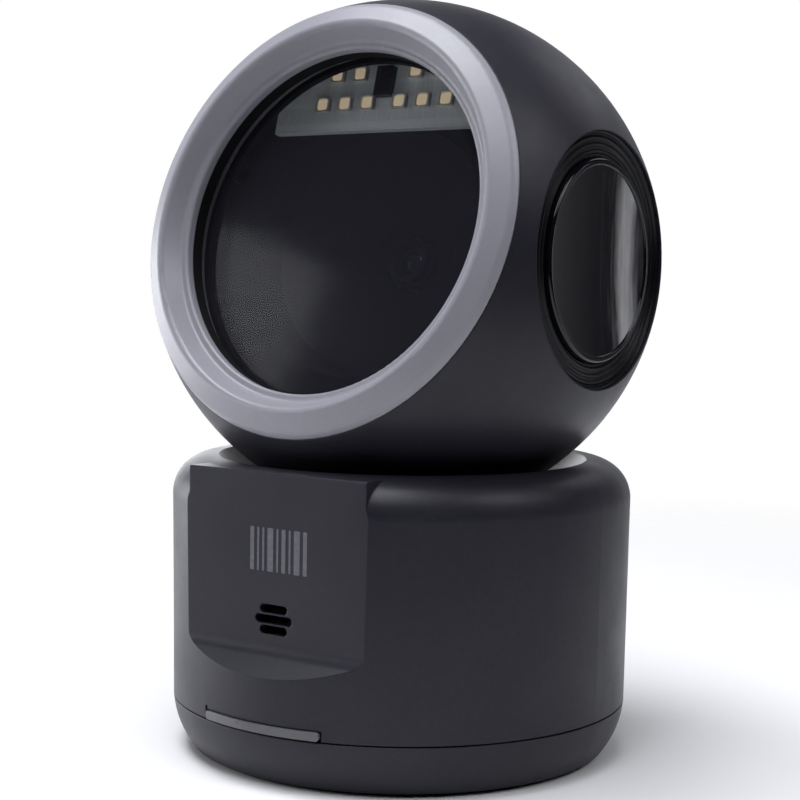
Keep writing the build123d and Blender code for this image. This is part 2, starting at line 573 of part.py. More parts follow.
def illumination_leds():
    """Light packages in two rows, each side of the proximity sensor."""
    low = LAMP_SEAT_D + LAMP_BOARD_THICK
    for up, places in LAMP_ROWS.items():
        for x in places:
            for side in (-1, 1):
                body = Pos(side * x, up, low) * Box(LAMP_WIDE, LAMP_TALL, LAMP_HIGH, align=LOW)
                yield chamfer(body.edges().group_by(Axis.Z)[-1], 0.15)


def proximity_sensor():
    """Black part between the two groups of lights."""
    low = LAMP_SEAT_D + LAMP_BOARD_THICK
    body = block((-1.85, 28.0, low), (1.85, 34.0, low + 1.6))
    for y in (29.6, 32.4):
        body -= rod(0.9, low + 1.0, low + 2, 0, y)
    return body


def camera_board():
    """Board that carries the image sensor and the lens holder."""
    board = block((-CAMERA_HALF, -CAMERA_HALF, SENSOR_D - 1.2), (CAMERA_HALF, CAMERA_HALF, SENSOR_D))
    for x, y in corners(CAMERA_POSTS_AT, CAMERA_POSTS_AT):
        board -= rod(1.1, -20, 0, x, y)
    return board


def lens_holder():
    """Square housing with the lens thread."""
    body = block((-6, -6, SENSOR_D), (6, 6, -8.2)) + rod(4.9, -8.4, -5.6)
    return body - block((-4.6, -4.6, SENSOR_D - 1), (4.6, 4.6, -9.6)) - rod(BARREL_R + FITTED, -11, 0)


def lens_barrel():
    """Threaded barrel, open at the front in steps."""
    barrel = rod(BARREL_R, -9.4, -0.6) + rod(BARREL_HEAD_R, -2.4, -0.6)
    flare = turned(Polyline((0, -2.0), (LENS_R, -2.0), (4.0, 0), (0, 0), close=True))
    return barrel - rod(LENS_R, -12, 1) - flare


def lens_element():
    """Front lens."""
    edge_r, back, edge, front = LENS_R - RUNNING, -4.0, -2.9, -2.2
    return turned(Polyline((0, back), (edge_r, back), (edge_r, edge)), crown(edge_r, edge, front),
                  Line((0, front), (0, back)))


def image_sensor():
    """Sensor package under the lens holder."""
    return block((-3.4, -3.0, SENSOR_D), (3.4, 3.0, SENSOR_D + 1.1))


def decoder_board():
    """Main board on the shell's rear bosses."""
    board = block((-DECODER_HALF, -DECODER_HALF, DECODER_D), (DECODER_HALF, DECODER_HALF, DECODER_D + 1.6))
    board = chamfer(board.edges().filter_by(Axis.Z), 3.0)
    for x, y in corners(HEAD_BOSS_AT, HEAD_BOSS_AT):
        board -= rod(1.2, -40, 0, x, y)
    return board


def decoder_chips():
    """Packages on the rear of the decoder board."""
    for x, y, wide, tall, high in ((-2, 3, 13, 13, 1.5), (14, 6, 8, 10, 1.1), (-15, 6, 8, 8, 1.1),
                                   (-12, -9, 5, 6, 1.5), (4, -11, 4.4, 4.4, 2.0)):
        yield Pos(x, y, DECODER_D - high) * Box(wide, tall, high, align=LOW)


def ribbon_connectors():
    """Flat-cable connectors on the camera board and the decoder board."""
    yield block((-6, 6.5, SENSOR_D - 2.6), (6, 10.6, SENSOR_D - 1.2))
    yield block((-6, 6.5, DECODER_D + 1.6), (6, 10.6, DECODER_D + 3.0))


def ribbon_cable():
    """Flat cable in one loop between the two boards."""
    front_d, rear_d, low_y, high_y, thick = SENSOR_D - 2.0, DECODER_D + 2.2, 10.6, 14.5, 0.3
    bend = (front_d - rear_d) / 2
    mid = (front_d + rear_d) / 2
    strip = make_face([
        Line((low_y, front_d), (high_y, front_d)),
        ThreePointArc((high_y, front_d), (high_y + bend, mid), (high_y, rear_d)),
        Line((high_y, rear_d), (low_y, rear_d)),
        Line((low_y, rear_d), (low_y, rear_d + thick)),
        Line((low_y, rear_d + thick), (high_y, rear_d + thick)),
        ThreePointArc((high_y, rear_d + thick), (high_y + bend - thick, mid), (high_y, front_d - thick)),
        Line((high_y, front_d - thick), (low_y, front_d - thick)),
        Line((low_y, front_d - thick), (low_y, front_d)),
    ])
    return extrude(Plane(origin=(-5, 0, 0), x_dir=(0, 1, 0), z_dir=(1, 0, 0)) * strip, 10)


def head_cable():
    """Cable from the tilt axis back to the decoder board."""
    start_x = CABLE_X - CABLE_BEND - 0.3
    turn_x = start_x - 0.3 - CABLE_BEND
    points = [(start_x, 0, 0), (turn_x, 0, 0), (turn_x, 0, DECODER_D + 1.6 + 4.4)]
    return swept_cable(points, CABLE_BEND)


def head_cable_plug():
    """Board connector of the head cable."""
    x = CABLE_X - 2 * CABLE_BEND - 0.6
    plug = block((x - 2.4, -4.5, DECODER_D + 1.6), (x + 2.4, 4.5, DECODER_D + 6.0))
    return chamfer(plug.edges().group_by(Axis.Z)[-1], 0.5)


# ---- head, sides ----
def cap_peg_places():
    """Places of the pegs that hold each side cap."""
    return around(PEGS_AT, (90, 210, 330))


def side_turned(*edges):
    """Solid of revolution about X of a closed outline in radius and distance from the middle."""
    return Rot(0, 90, 0) * turned(*edges)


def side_trim():
    """Ridged ring between the shell's recess and the cap."""
    outer, inner, floor = SIDE_RECESS_R - 0.1, SIDE_CAP_R + 0.2, SIDE_FLOOR_X
    ridges, step = 3, 1.25
    crest_x, valley_x = floor + 1.25, floor + 0.85
    points = [(inner, floor), (inner, valley_x)]
    for k in range(ridges):
        r = inner + 0.45 + k * step
        points += [(r, valley_x), (r + 0.3, crest_x), (r + 0.6, crest_x), (r + 0.9, valley_x)]
    points += [(outer - 0.45, valley_x), (outer, floor + 1.7), (outer, floor)]
    return side_turned(Polyline(*points, close=True))


def side_cap():
    """Glossy dished disc over the pivot, with three pegs."""
    rim_in, rim_x = SIDE_CAP_R - 1.1, SIDE_CAP_X
    dish_x = rim_x - 1.15
    disc = side_turned(
        Polyline((0, SIDE_FLOOR_X), (SIDE_CAP_R, SIDE_FLOOR_X), (SIDE_CAP_R, rim_x - 0.4)),
        RadiusArc((SIDE_CAP_R, rim_x - 0.4), (SIDE_CAP_R - 0.4, rim_x), -0.4),
        Line((SIDE_CAP_R - 0.4, rim_x), (rim_in, rim_x)),
        ThreePointArc((rim_in, rim_x), (rim_in - 0.22, rim_x - 0.1), (rim_in - 0.4, rim_x - 0.28)),
        crown(rim_in - 0.4, rim_x - 0.28, dish_x),
        Line((0, dish_x), (0, SIDE_FLOOR_X)),
    )
    for y, z in cap_peg_places():
        disc += cross_rod(PEG_R, SIDE_FLOOR_X - 1.7, SIDE_FLOOR_X + 0.3, y, z)
    return disc


def pivot_pin():
    """Headed pin fixed in the head's boss, turning in the arm's bush."""
    head_in = SIDE_FLOOR_X - 1.8
    return cross_rod(PIN_R, ARM_IN_X + 0.1, head_in + 0.2) + cross_rod(PIN_HEAD_R, head_in, head_in + 1.6)


# ---- fasteners ----
def pan_screws():
    for x, y in corners(COLUMN_AT, COLUMN_AT):
        yield screw(2.4, 1.7, 1.05, 11.0, PAN_Z + 2.2, x, y, down=False)


def base_board_screws():
    for x, y in BOARD_HOLES:
        yield screw(2.1, 1.5, 1.0, 4.8, BOARD_Z + BOARD_THICK, x, y)


def neck_screws():
    for x, y in corners(*FLANGE_SCREWS_AT):
        yield screw(2.3, 1.6, 1.05, 7.5, FLANGE_Z, x, y, down=False)


def yoke_screws():
    for x, y in corners(*YOKE_SCREWS_AT):
        yield screw(1.7, 1.3, 0.85, 9.5, NECK_TOP_Z + CROSSBAR_THICK - 1.5, x, y)


def bezel_screws():
    for x, y in around(BEZEL_SCREW_R, screw_angles()):
        yield screw(1.7, 1.3, 0.9, 13.5, 12.1, x, y, down=False)


def camera_screws():
    for x, y in corners(CAMERA_POSTS_AT, CAMERA_POSTS_AT):
        yield screw(1.6, 1.1, 0.75, 5.0, SENSOR_D - 1.2, x, y, down=False)


def decoder_screws():
    for x, y in corners(HEAD_BOSS_AT, HEAD_BOSS_AT):
        yield screw(2.0, 1.4, 0.9, 4.6, DECODER_D + 1.6, x, y)


def shell_screws():
    for x, y in corners(HEAD_BOSS_AT, HEAD_BOSS_AT):
        yield screw(2.3, 1.6, 1.1, 5.3, SHELL_SEAT_D, x, y, down=False)


# ---- the nodes ----
FIXED_PIECES = {
    "base_housing": base_housing, "base_pan": base_pan, "foot_ring": foot_ring, "light_bar": light_bar,
    "ballast_plate": ballast_plate, "base_board": base_board, "interface_socket": interface_socket,
    "beeper": beeper, "beeper_gasket": beeper_gasket, "tilt_neck": tilt_neck, "tilt_yoke": tilt_yoke,
    "neck_cable": neck_cable, "neck_cable_plug": neck_cable_plug,
}
FIXED_GROUPS = {
    "base_spacers": base_spacers, "base_chips": base_chips, "status_leds": status_leds,
    "socket_contacts": socket_contacts, "pan_screws": pan_screws, "base_board_screws": base_board_screws,
    "neck_screws": neck_screws, "yoke_screws": yoke_screws,
}
FIXED_PAIRS = {"pivot_bush": pivot_bush, "friction_washer": friction_washer}
HEAD_PIECES = {
    "head_shell": head_shell, "rear_shell": rear_shell, "bezel_ring": bezel_ring, "scan_window": scan_window,
    "optical_chamber": optical_chamber, "illumination_board": illumination_board,
    "proximity_sensor": proximity_sensor, "camera_board": camera_board, "lens_holder": lens_holder,
    "lens_barrel": lens_barrel, "lens_element": lens_element, "image_sensor": image_sensor,
    "decoder_board": decoder_board, "ribbon_cable": ribbon_cable, "head_cable": head_cable,
    "head_cable_plug": head_cable_plug,
    "window_gasket": lambda: tube(LIP_R + 0.1, WINDOW_R + 0.1, WINDOW_BACK_D + WINDOW_THICK, LIP_D),
}
HEAD_GROUPS = {
    "illumination_leds": illumination_leds, "decoder_chips": decoder_chips,
    "ribbon_connectors": ribbon_connectors, "bezel_screws": bezel_screws, "camera_screws": camera_screws,
    "decoder_screws": decoder_screws, "shell_screws": shell_screws,
}
HEAD_PAIRS = {"side_trim": side_trim, "side_cap": side_cap, "pivot_pin": pivot_pin}


def write(name, shape):
    """One STEP file for one node."""
    export_step(shape, f"parts/{name}.step")


def main():
    os.makedirs("parts", exist_ok=True)
    for place, pieces, groups, pairs in ((Pos(0, 0, 0), FIXED_PIECES, FIXED_GROUPS, FIXED_PAIRS),
                                         (HEAD, HEAD_PIECES, HEAD_GROUPS, HEAD_PAIRS)):
        for name, make in pieces.items():
            write(name, place * make())
        for name, make in groups.items():
            write(name, place * group(make()))
        for name, make in pairs.items():
            right = make()
            write(f"{name}_right", place * right)
            write(f"{name}_left", place * mirrored(right))


main()
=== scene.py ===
import json
from math import cos, pi, radians, sin, sqrt

import bmesh
import bpy
from mathutils import Matrix, Vector


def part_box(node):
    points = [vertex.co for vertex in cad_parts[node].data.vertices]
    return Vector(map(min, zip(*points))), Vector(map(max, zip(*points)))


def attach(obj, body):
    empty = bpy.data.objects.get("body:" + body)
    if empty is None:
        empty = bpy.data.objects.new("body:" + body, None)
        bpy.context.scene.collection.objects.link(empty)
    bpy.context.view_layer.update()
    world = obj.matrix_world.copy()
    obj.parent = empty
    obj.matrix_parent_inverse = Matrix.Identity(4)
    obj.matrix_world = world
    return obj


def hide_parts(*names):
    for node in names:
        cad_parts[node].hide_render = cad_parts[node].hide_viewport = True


# Looks for the ball-head scanner, in metres and in the frame's own axes: +Z is up and the window faces -Y.

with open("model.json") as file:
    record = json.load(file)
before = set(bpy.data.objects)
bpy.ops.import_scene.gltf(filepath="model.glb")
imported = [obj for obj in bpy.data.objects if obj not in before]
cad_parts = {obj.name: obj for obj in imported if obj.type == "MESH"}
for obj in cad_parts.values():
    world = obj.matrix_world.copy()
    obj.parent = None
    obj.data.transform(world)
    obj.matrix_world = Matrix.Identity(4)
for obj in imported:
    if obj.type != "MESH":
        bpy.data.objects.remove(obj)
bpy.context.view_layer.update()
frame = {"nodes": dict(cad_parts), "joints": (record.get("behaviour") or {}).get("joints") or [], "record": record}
NODES = frame["nodes"]
SLOT_OF = {row["node"]: row["material_slot"] for row in frame["record"]["subparts"]}
MM = 0.001

# ---- camera ----
CAMERA_AZIMUTH = 35.07       # degrees round from the front, towards +X
CAMERA_DROP = 4.10           # degrees that it looks down
CAMERA_ROLL = 0.90           # degrees that the object leans clockwise in the picture
CAMERA_DISTANCE = 0.347
CAMERA_AIM = Vector((-0.0005, -0.0004, 0.0684))
CAMERA_LENS = 78.28          # mm on a 36 mm sensor


# ---- the head's own axes: across, up and outward through the window ----
def middle(node):
    """Centre of a CAD node's box."""
    low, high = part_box(node)
    return (low + high) / 2


PIVOT = Vector(frame["joints"][0]["pos_m"])
OUTWARD = (middle("scan_window") - PIVOT).normalized()
ACROSS = Vector((1, 0, 0))
UPWARD = OUTWARD.cross(ACROSS)
HEAD = Matrix.Translation(PIVOT) @ Matrix((ACROSS, UPWARD, OUTWARD)).transposed().to_4x4()


def solids_of(node, axes):
    """Lowest and highest corner of each separate solid in a CAD node, in the given axes."""
    mesh = bmesh.new()
    mesh.from_mesh(NODES[node].data)
    bmesh.ops.remove_doubles(mesh, verts=mesh.verts, dist=0.01 * MM)
    into = axes.inverted()
    left = set(mesh.verts)
    boxes = []
    while left:
        queue = [left.pop()]
        points = []
        while queue:
            vert = queue.pop()
            points.append(into @ vert.co)
            for edge in vert.link_edges:
                other = edge.other_vert(vert)
                if other in left:
                    left.remove(other)
                    queue.append(other)
        low = Vector([min(p[i] for p in points) for i in range(3)])
        high = Vector([max(p[i] for p in points) for i in range(3)])
        boxes.append((low, high))
    mesh.free()
    return sorted(boxes, key=lambda box: tuple(round(c, 5) for c in box[0]))


# ---- materials ----
class Finish:
    """A procedural material whose Principled shader is fed from object-space patterns."""

    def __init__(self, name, **values):
        self.material = bpy.data.materials.new(name)
        self.material.use_nodes = True
        self.tree = self.material.node_tree
        self.shader = self.tree.nodes["Principled BSDF"]
        self.place = self.add("ShaderNodeTexCoord").outputs["Object"]
        self.set(**values)

    def feed(self, socket, value):
        if isinstance(value, bpy.types.NodeSocket):
            self.tree.links.new(value, socket)
        elif isinstance(value, tuple) and len(value) == 3 and len(socket.default_value) == 4:
            socket.default_value = (*value, 1.0)
        else:
            socket.default_value = value

    def set(self, **values):
        """Shader inputs by name, with an underscore for each space."""
        for name, value in values.items():
            self.feed(self.shader.inputs[name.replace("_", " ")], value)

    def add(self, kind, settings=None, **values):
        node = self.tree.nodes.new(kind)
        for name, value in (settings or {}).items():
            setattr(node, name, value)
        for name, value in values.items():
            self.feed(node.inputs[name.replace("_", " ")], value)
        return node

    def stretched(self, x, y, z):
        """The object's coordinates, scaled along each axis."""
        node = self.add("ShaderNodeMapping", Vector=self.place, Scale=Vector((x, y, z)))
        return node.outputs["Vector"]

    def noise(self, scale, detail=2.0, rough=0.5, place=None):
        node = self.add("ShaderNodeTexNoise", Vector=place or self.place, Scale=float(scale),
                        Detail=float(detail), Roughness=float(rough))
        return node.outputs["Fac"]

    def cells(self, scale, feature="F1", output="Distance"):
        node = self.add("ShaderNodeTexVoronoi", {"feature": feature}, Vector=self.place, Scale=float(scale))
        return node.outputs[output]

    def span(self, value, low, high, to_low, to_high):
        node = self.add("ShaderNodeMapRange", Value=value, From_Min=low, From_Max=high,
                        To_Min=to_low, To_Max=to_high)
        return node.outputs["Result"]

    def mix(self, share, a, b):
        node = self.add("ShaderNodeMix", {"data_type": "RGBA"})
        self.feed(node.inputs[0], share)
        self.feed(node.inputs[6], a)
        self.feed(node.inputs[7], b)
        return node.outputs[2]

    def math(self, operation, a, b=0.0):
        node = self.add("ShaderNodeMath", {"operation": operation})
        self.feed(node.inputs[0], a)
        self.feed(node.inputs[1], b)
        return node.outputs["Value"]

    def bumped(self, height, depth, normal=None):
        """Adds relief of that depth in metres to the shader's normal."""
        node = self.add("ShaderNodeBump", Height=height, Distance=depth, Strength=1.0)
        if normal is not None:
            self.feed(node.inputs["Normal"], normal)
        self.set(Normal=node.outputs["Normal"])
        return node.outputs["Normal"]

    def soft_edges(self, radius):
        """Normal that rounds sharp edges off to that radius."""
        return self.add("ShaderNodeBevel", {"samples": 4}, Radius=radius).outputs["Normal"]

    def edge_share(self, radius):
        """0 on flat faces, towards 1 along sharp edges."""
        rounded = self.soft_edges(radius)
        flat = self.add("ShaderNodeNewGeometry").outputs["Normal"]
        node = self.add("ShaderNodeVectorMath", {"operation": "DOT_PRODUCT"})
        self.feed(node.inputs[0], rounded)
        self.feed(node.inputs[1], flat)
        return self.span(node.outputs["Value"], 0.995, 0.80, 0.0, 1.0)


def moulded(name, dark, light, rough, grain_mm=0.4, grain_depth=0.00001, specular=0.3, edge=0.0004,
            wear_and_highlight_colour=None, fleck=0.45):
    """Moulded plastic: cloudy colour, spark-eroded grain, uneven polish, and sharp edges made lighter, partly as
    rubbed wear and partly as a painted edge highlight.
    """
    finish = Finish(name, Specular_IOR_Level=specular)
    cloud = finish.noise(45, 3)
    speck = finish.noise(900, 2, 0.7)
    colour = finish.mix(finish.span(cloud, 0.3, 0.7, 0.0, 1.0), dark, light)
    deeper = tuple(0.72 * c for c in dark)
    colour = finish.mix(finish.span(speck, 0.35, 0.65, fleck, 0.0), colour, deeper)
    share = finish.edge_share(edge)
    rubbed_and_highlit = finish.math("MULTIPLY", share, finish.span(finish.noise(160, 3), 0.35, 0.7, 0.15, 0.7))
    # Sharp edges are mixed towards a lighter colour: partly rubbed wear, partly a painted edge highlight.
    colour = finish.mix(rubbed_and_highlit, colour, wear_and_highlight_colour or tuple(1.6 * c for c in light))
    finish.set(Base_Color=colour)
    uneven = finish.span(finish.noise(70, 4, 0.6), 0.3, 0.7, rough - 0.05, rough + 0.06)
    finish.set(Roughness=finish.math("SUBTRACT", uneven, finish.math("MULTIPLY", rubbed_and_highlit, 0.12)))
    grain = finish.cells(1 / (grain_mm * MM), "SMOOTH_F1")
    finish.bumped(grain, grain_depth, finish.soft_edges(edge))
    return finish.material


def charcoal_shell():
    return moulded("charcoal_shell", (0.0155, 0.0153, 0.0225), (0.0195, 0.0193, 0.0280), 0.42,
                   grain_mm=0.35, grain_depth=0.000012, specular=0.30)


def light_bezel():
    # Its sharp edges are lightened to a paler grey, partly as wear and partly as a painted edge highlight.
    return moulded("light_bezel", (0.285, 0.285, 0.320), (0.300, 0.300, 0.335), 0.36, grain_mm=0.45,
                   grain_depth=0.000006, specular=0.5, wear_and_highlight_colour=(0.38, 0.38, 0.42), fleck=0.12)


def gloss_black():
    """Polished disc with a faint orange-peel wave and hairline wipe marks."""
    finish = Finish("gloss_black", Specular_IOR_Level=0.4)
    finish.set(Base_Color=finish.mix(finish.noise(35, 2), (0.0030, 0.0030, 0.0055), (0.0050, 0.0050, 0.0085)))
    wipe = finish.noise(1.0, 3, 0.6, finish.stretched(900, 900, 60))
    finish.set(Roughness=finish.span(wipe, 0.35, 0.75, 0.05, 0.13))
    finish.bumped(finish.noise(220, 1), 0.000006)
    return finish.material


def trim_black():
    return moulded("trim_black", (0.0045, 0.0045, 0.0065), (0.0065, 0.0065, 0.0090), 0.34, grain_mm=0.3,
                   grain_depth=0.000006, specular=0.22)


def tinted_window():
    """Dark tinted pane: it lets the lamp board show and holds a soft gloss, with faint smears."""
    finish = Finish("tinted_window", Alpha=0.25, Specular_IOR_Level=0.5, IOR=1.49)
    finish.set(Base_Color=finish.mix(finish.noise(18, 2), (0.030, 0.030, 0.041), (0.037, 0.037, 0.048)))
    smear = finish.noise(1.0, 4, 0.6, finish.stretched(70, 70, 300))
    finish.set(Roughness=finish.span(smear, 0.4, 0.75, 0.07, 0.12))
    return finish.material


def black_plastic():
    return moulded("black_plastic", (0.004, 0.004, 0.006), (0.006, 0.006, 0.008), 0.60, specular=0.12,
                   grain_depth=0.000003)


def connector_white():
    return moulded("connector_white", (0.58, 0.56, 0.50), (0.66, 0.64, 0.58), 0.42, grain_depth=0.000005)


def rubber_foot():
    return moulded("rubber_foot", (0.010, 0.010, 0.011), (0.015, 0.015, 0.016), 0.75, grain_mm=0.7,
                   grain_depth=0.00003, specular=0.2)


def soft_seal():
    return moulded("soft_seal", (0.006, 0.006, 0.007), (0.010, 0.010, 0.011), 0.85, grain_mm=0.5,
                   grain_depth=0.00004, specular=0.15)


def light_pipe():
    """Frosted light pipe: milky grey with light inside it."""
    finish = Finish("light_pipe", Specular_IOR_Level=0.5, Subsurface_Weight=0.25, Subsurface_Scale=0.001)
    milk = finish.span(finish.noise(120, 3), 0.3, 0.7, 0.0, 1.0)
    finish.set(Base_Color=finish.mix(milk, (0.085, 0.085, 0.095), (0.120, 0.120, 0.130)))
    finish.set(Roughness=finish.span(finish.noise(400, 2), 0.3, 0.7, 0.26, 0.40))
    finish.bumped(finish.noise(1500, 2), 0.000006, finish.soft_edges(0.0003))
    return finish.material


def metal(name, dull, bright, rough, brush=(40, 40, 2500)):
    """Metal with a drawn grain and patchy tarnish."""
    finish = Finish(name, Metallic=1.0)
    drawn = finish.noise(1.0, 3, 0.7, finish.stretched(*brush))
    finish.set(Base_Color=finish.mix(finish.span(finish.noise(140, 4), 0.3, 0.7, 0.0, 1.0), dull, bright))
    finish.set(Roughness=finish.span(drawn, 0.3, 0.7, rough - 0.07, rough + 0.10))
    finish.bumped(drawn, 0.000004, finish.soft_edges(0.00015))
    return finish.material


def plain_steel():
    return metal("plain_steel", (0.36, 0.36, 0.37), (0.52, 0.52, 0.53), 0.34)


def contact_gold():
    return metal("contact_gold", (0.72, 0.50, 0.20), (0.86, 0.63, 0.29), 0.25)


def acetal_white():
    return moulded("acetal_white", (0.60, 0.60, 0.56), (0.70, 0.70, 0.66), 0.38, grain_depth=0.000004)


def friction_fibre():
    return moulded("friction_fibre", (0.10, 0.045, 0.020), (0.15, 0.070, 0.035), 0.80, grain_mm=0.5,
                   grain_depth=0.00003)


def board_finish(name, dark, light, glow=0.0):
    """Solder mask over copper with fine tracks. glow makes up for light lost in the tinted window."""
    finish = Finish(name, Specular_IOR_Level=0.5, Emission_Color=light, Emission_Strength=glow)
    weave = finish.noise(1.0, 1, 0.5, finish.stretched(2400, 2400, 2400))
    tracks = finish.add("ShaderNodeTexBrick", {"offset": 0.37, "squash": 1.6},
                        Vector=finish.stretched(1, 1, 1), Scale=220.0, Mortar_Size=0.035, Mortar_Smooth=0.2)
    share = finish.math("MULTIPLY", tracks.outputs["Fac"], 0.35)
    ground = finish.mix(finish.span(weave, 0.35, 0.65, 0.0, 1.0), dark, light)
    finish.set(Base_Color=finish.mix(share, ground, tuple(min(1.0, 1.5 * c) for c in light)))
    finish.set(Roughness=finish.span(finish.noise(300, 3), 0.3, 0.7, 0.28, 0.42))
    finish.bumped(finish.noise(800, 2), 0.00001)
    return finish.material


def board_green():
    return board_finish("board_green", (0.010, 0.075, 0.030), (0.016, 0.105, 0.042))


def board_pale():
    return board_finish("board_pale", (0.66, 0.72, 0.73), (0.74, 0.80, 0.80), glow=0.055)


def chip_black():
    return moulded("chip_black", (0.010, 0.010, 0.011), (0.016, 0.016, 0.017), 0.55, grain_mm=0.15,
                   grain_depth=0.000008)


def lamp_white():
    return moulded("lamp_white", (0.80, 0.78, 0.70), (0.90, 0.88, 0.80), 0.40,
                   grain_depth=0.000003, edge=0.0001)


def lamp_amber():
    """Phosphor in the light packages: granular warm yellow."""
    finish = Finish("lamp_amber", Specular_IOR_Level=0.4, Emission_Color=(1.0, 0.84, 0.60),
                    Emission_Strength=0.45)
    speck = finish.span(finish.noise(5000, 2, 0.7), 0.3, 0.7, 0.0, 1.0)
    finish.set(Base_Color=finish.mix(speck, (0.86, 0.66, 0.34), (0.98, 0.80, 0.50)))
    finish.set(Roughness=finish.span(speck, 0.0, 1.0, 0.22, 0.4))
    finish.bumped(speck, 0.000008)
    return finish.material


def sensor_black():
    return moulded("sensor_black", (0.004, 0.004, 0.005), (0.007, 0.007, 0.008), 0.22, grain_depth=0.000002)


def lens_glass():
    """Coated lens: dark, with a cloudy cool tint in the coating."""
    finish = Finish("lens_glass", Specular_IOR_Level=0.4, Coat_Weight=0.3, Coat_Roughness=0.05)
    tint = finish.span(finish.noise(500, 2), 0.3, 0.7, 0.0, 1.0)
    finish.set(Base_Color=finish.mix(tint, (0.004, 0.003, 0.012), (0.014, 0.006, 0.030)))
    finish.set(Roughness=finish.span(finish.noise(300, 2), 0.3, 0.7, 0.03, 0.07))
    return finish.material


def cable_sleeve():
    return moulded("cable_sleeve", (0.010, 0.010, 0.011), (0.014, 0.014, 0.015), 0.6, grain_mm=0.6)


def ribbon_film():
    """Flat cable: parallel conductors under film."""
    finish = Finish("ribbon_film", Specular_IOR_Level=0.5)
    lanes = finish.add("ShaderNodeTexWave", {"bands_direction": "X"}, Vector=finish.place, Scale=314.0,
                       Distortion=0.0).outputs["Fac"]
    finish.set(Base_Color=finish.mix(lanes, (0.62, 0.60, 0.55), (0.42, 0.24, 0.10)))
    finish.set(Roughness=finish.span(lanes, 0.0, 1.0, 0.30, 0.42))
    finish.bumped(lanes, 0.00002)
    return finish.material


def mark_grey():
    """Pad-printed ink, a little uneven."""
    finish = Finish("mark_grey", Specular_IOR_Level=0.3)
    ink = finish.span(finish.noise(1400, 3, 0.7), 0.3, 0.7, 0.0, 1.0)
    finish.set(Base_Color=finish.mix(ink, (0.105, 0.105, 0.120), (0.145, 0.145, 0.160)))
    finish.set(Roughness=finish.span(finish.noise(500, 2), 0.3, 0.7, 0.40, 0.55))
    finish.bumped(ink, 0.000004)
    return finish.material


FINISHES = (charcoal_shell, light_bezel, gloss_black, trim_black, tinted_window, black_plastic,
            connector_white, rubber_foot, soft_seal, light_pipe, plain_steel, acetal_white, friction_fibre,
            board_green, board_pale, chip_black, lamp_amber, lamp_white, sensor_black, lens_glass,
            contact_gold, cable_sleeve, ribbon_film, mark_grey)
MATERIALS = {make.__name__: make() for make in FINISHES}


def paint_cad_nodes():
    """Every carried-over CAD node takes the material of its own slot."""
    for name, node in NODES.items():
        material = MATERIALS[SLOT_OF[name]]
        if not node.material_slots:
            node.data.materials.append(material)
        for place in node.material_slots:
            place.material = material


def clean_poles():
    """Even shading where the rear shell's and the lens's surfaces of revolution meet their axes."""
    for name in ("rear_shell", "lens_element"):
        even = NODES[name].modifiers.new("even_normals", "WEIGHTED_NORMAL")
        even.mode = "CORNER_ANGLE"
        even.weight = 50


# ---- mesh helpers ----
def piece(name, mesh, body, material):
    """Makes an object of a bmesh, lets it ride on a body and gives it its material."""
    bmesh.ops.recalc_face_normals(mesh, faces=mesh.faces)
    data = bpy.data.meshes.new(name)
    mesh.to_mesh(data)
    mesh.free()
    data.materials.append(MATERIALS[material])
    thing = bpy.data.objects.new(name, data)
    bpy.context.scene.collection.objects.link(thing)
    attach(thing, body)
    return thing


def smooth(thing, angle=35.0):
    """Smooth shading with sharp creases above an angle."""
    for face in thing.data.polygons:
        face.use_smooth = True
    thing.data.set_sharp_from_angle(angle=radians(angle))


def rounded_outline(wide, high, corner, steps=5):
    """Points round a rectangle with arcs for corners, about the origin."""
    points = []
    for quarter, (sx, sy) in enumerate(((1, 1), (-1, 1), (-1, -1), (1, -1))):
        cx, cy = sx * (wide / 2 - corner), sy * (high / 2 - corner)
        for step in range(steps + 1):
            turn = pi / 2 * (quarter + step / steps)
            points.append((cx + corner * cos(turn), cy + corner * sin(turn)))
    return points


def add_prism(mesh, axes, outline, low, high):
    """Closed prism on an outline, between two heights along the axes' third direction."""
    bottom = [mesh.verts.new(axes @ Vector((x, y, low))) for x, y in outline]
    top = [mesh.verts.new(axes @ Vector((x, y, high))) for x, y in outline]
    mesh.faces.new(reversed(bottom))
    mesh.faces.new(top)
    for k in range(len(outline)):
        after = (k + 1) % len(outline)
        mesh.faces.new((bottom[k], bottom[after], top[after], top[k]))


def add_rings(mesh, axes, rings, close_first=True, close_last=True):
    """Skin through a list of (outline, height) rings with equal point counts."""
    loops = [[mesh.verts.new(axes @ Vector((x, y, height))) for x, y in outline] for outline, height in rings]
    for one, two in zip(loops, loops[1:]):
        for k in range(len(one)):
            after = (k + 1) % len(one)
            mesh.faces.new((one[k], one[after], two[after], two[k]))
    if close_first:
        mesh.faces.new(reversed(loops[0]))
    if close_last:
        mesh.faces.new(loops[-1])


def add_turned(mesh, axes, profile, steps=128):
    """Closed skin of revolution about the axes' third direction; a radius of zero closes it to a point."""
    loops = []
    for radius, height in profile:
        count = steps if radius > 0 else 1
        turns = [2 * pi * k / steps for k in range(count)]
        points = [Vector((radius * cos(t), radius * sin(t), height)) for t in turns]
        loops.append([mesh.verts.new(axes @ point) for point in points])
    for one, two in zip(loops, loops[1:]):
        for k in range(steps):
            after = (k + 1) % steps
            if len(one) == 1:
                mesh.faces.new((one[0], two[after], two[k]))
            elif len(two) == 1:
                mesh.faces.new((one[k], one[after], two[0]))
            else:
                mesh.faces.new((one[k], one[after], two[after], two[k]))


def arc(centre, radius, first, last, steps=6):
    """Points on an arc in radius and height, between two angles in degrees."""
    turns = [radians(first + (last - first) * k / steps) for k in range(steps + 1)]
    return [(centre[0] + radius * cos(t), centre[1] + radius * sin(t)) for t in turns]


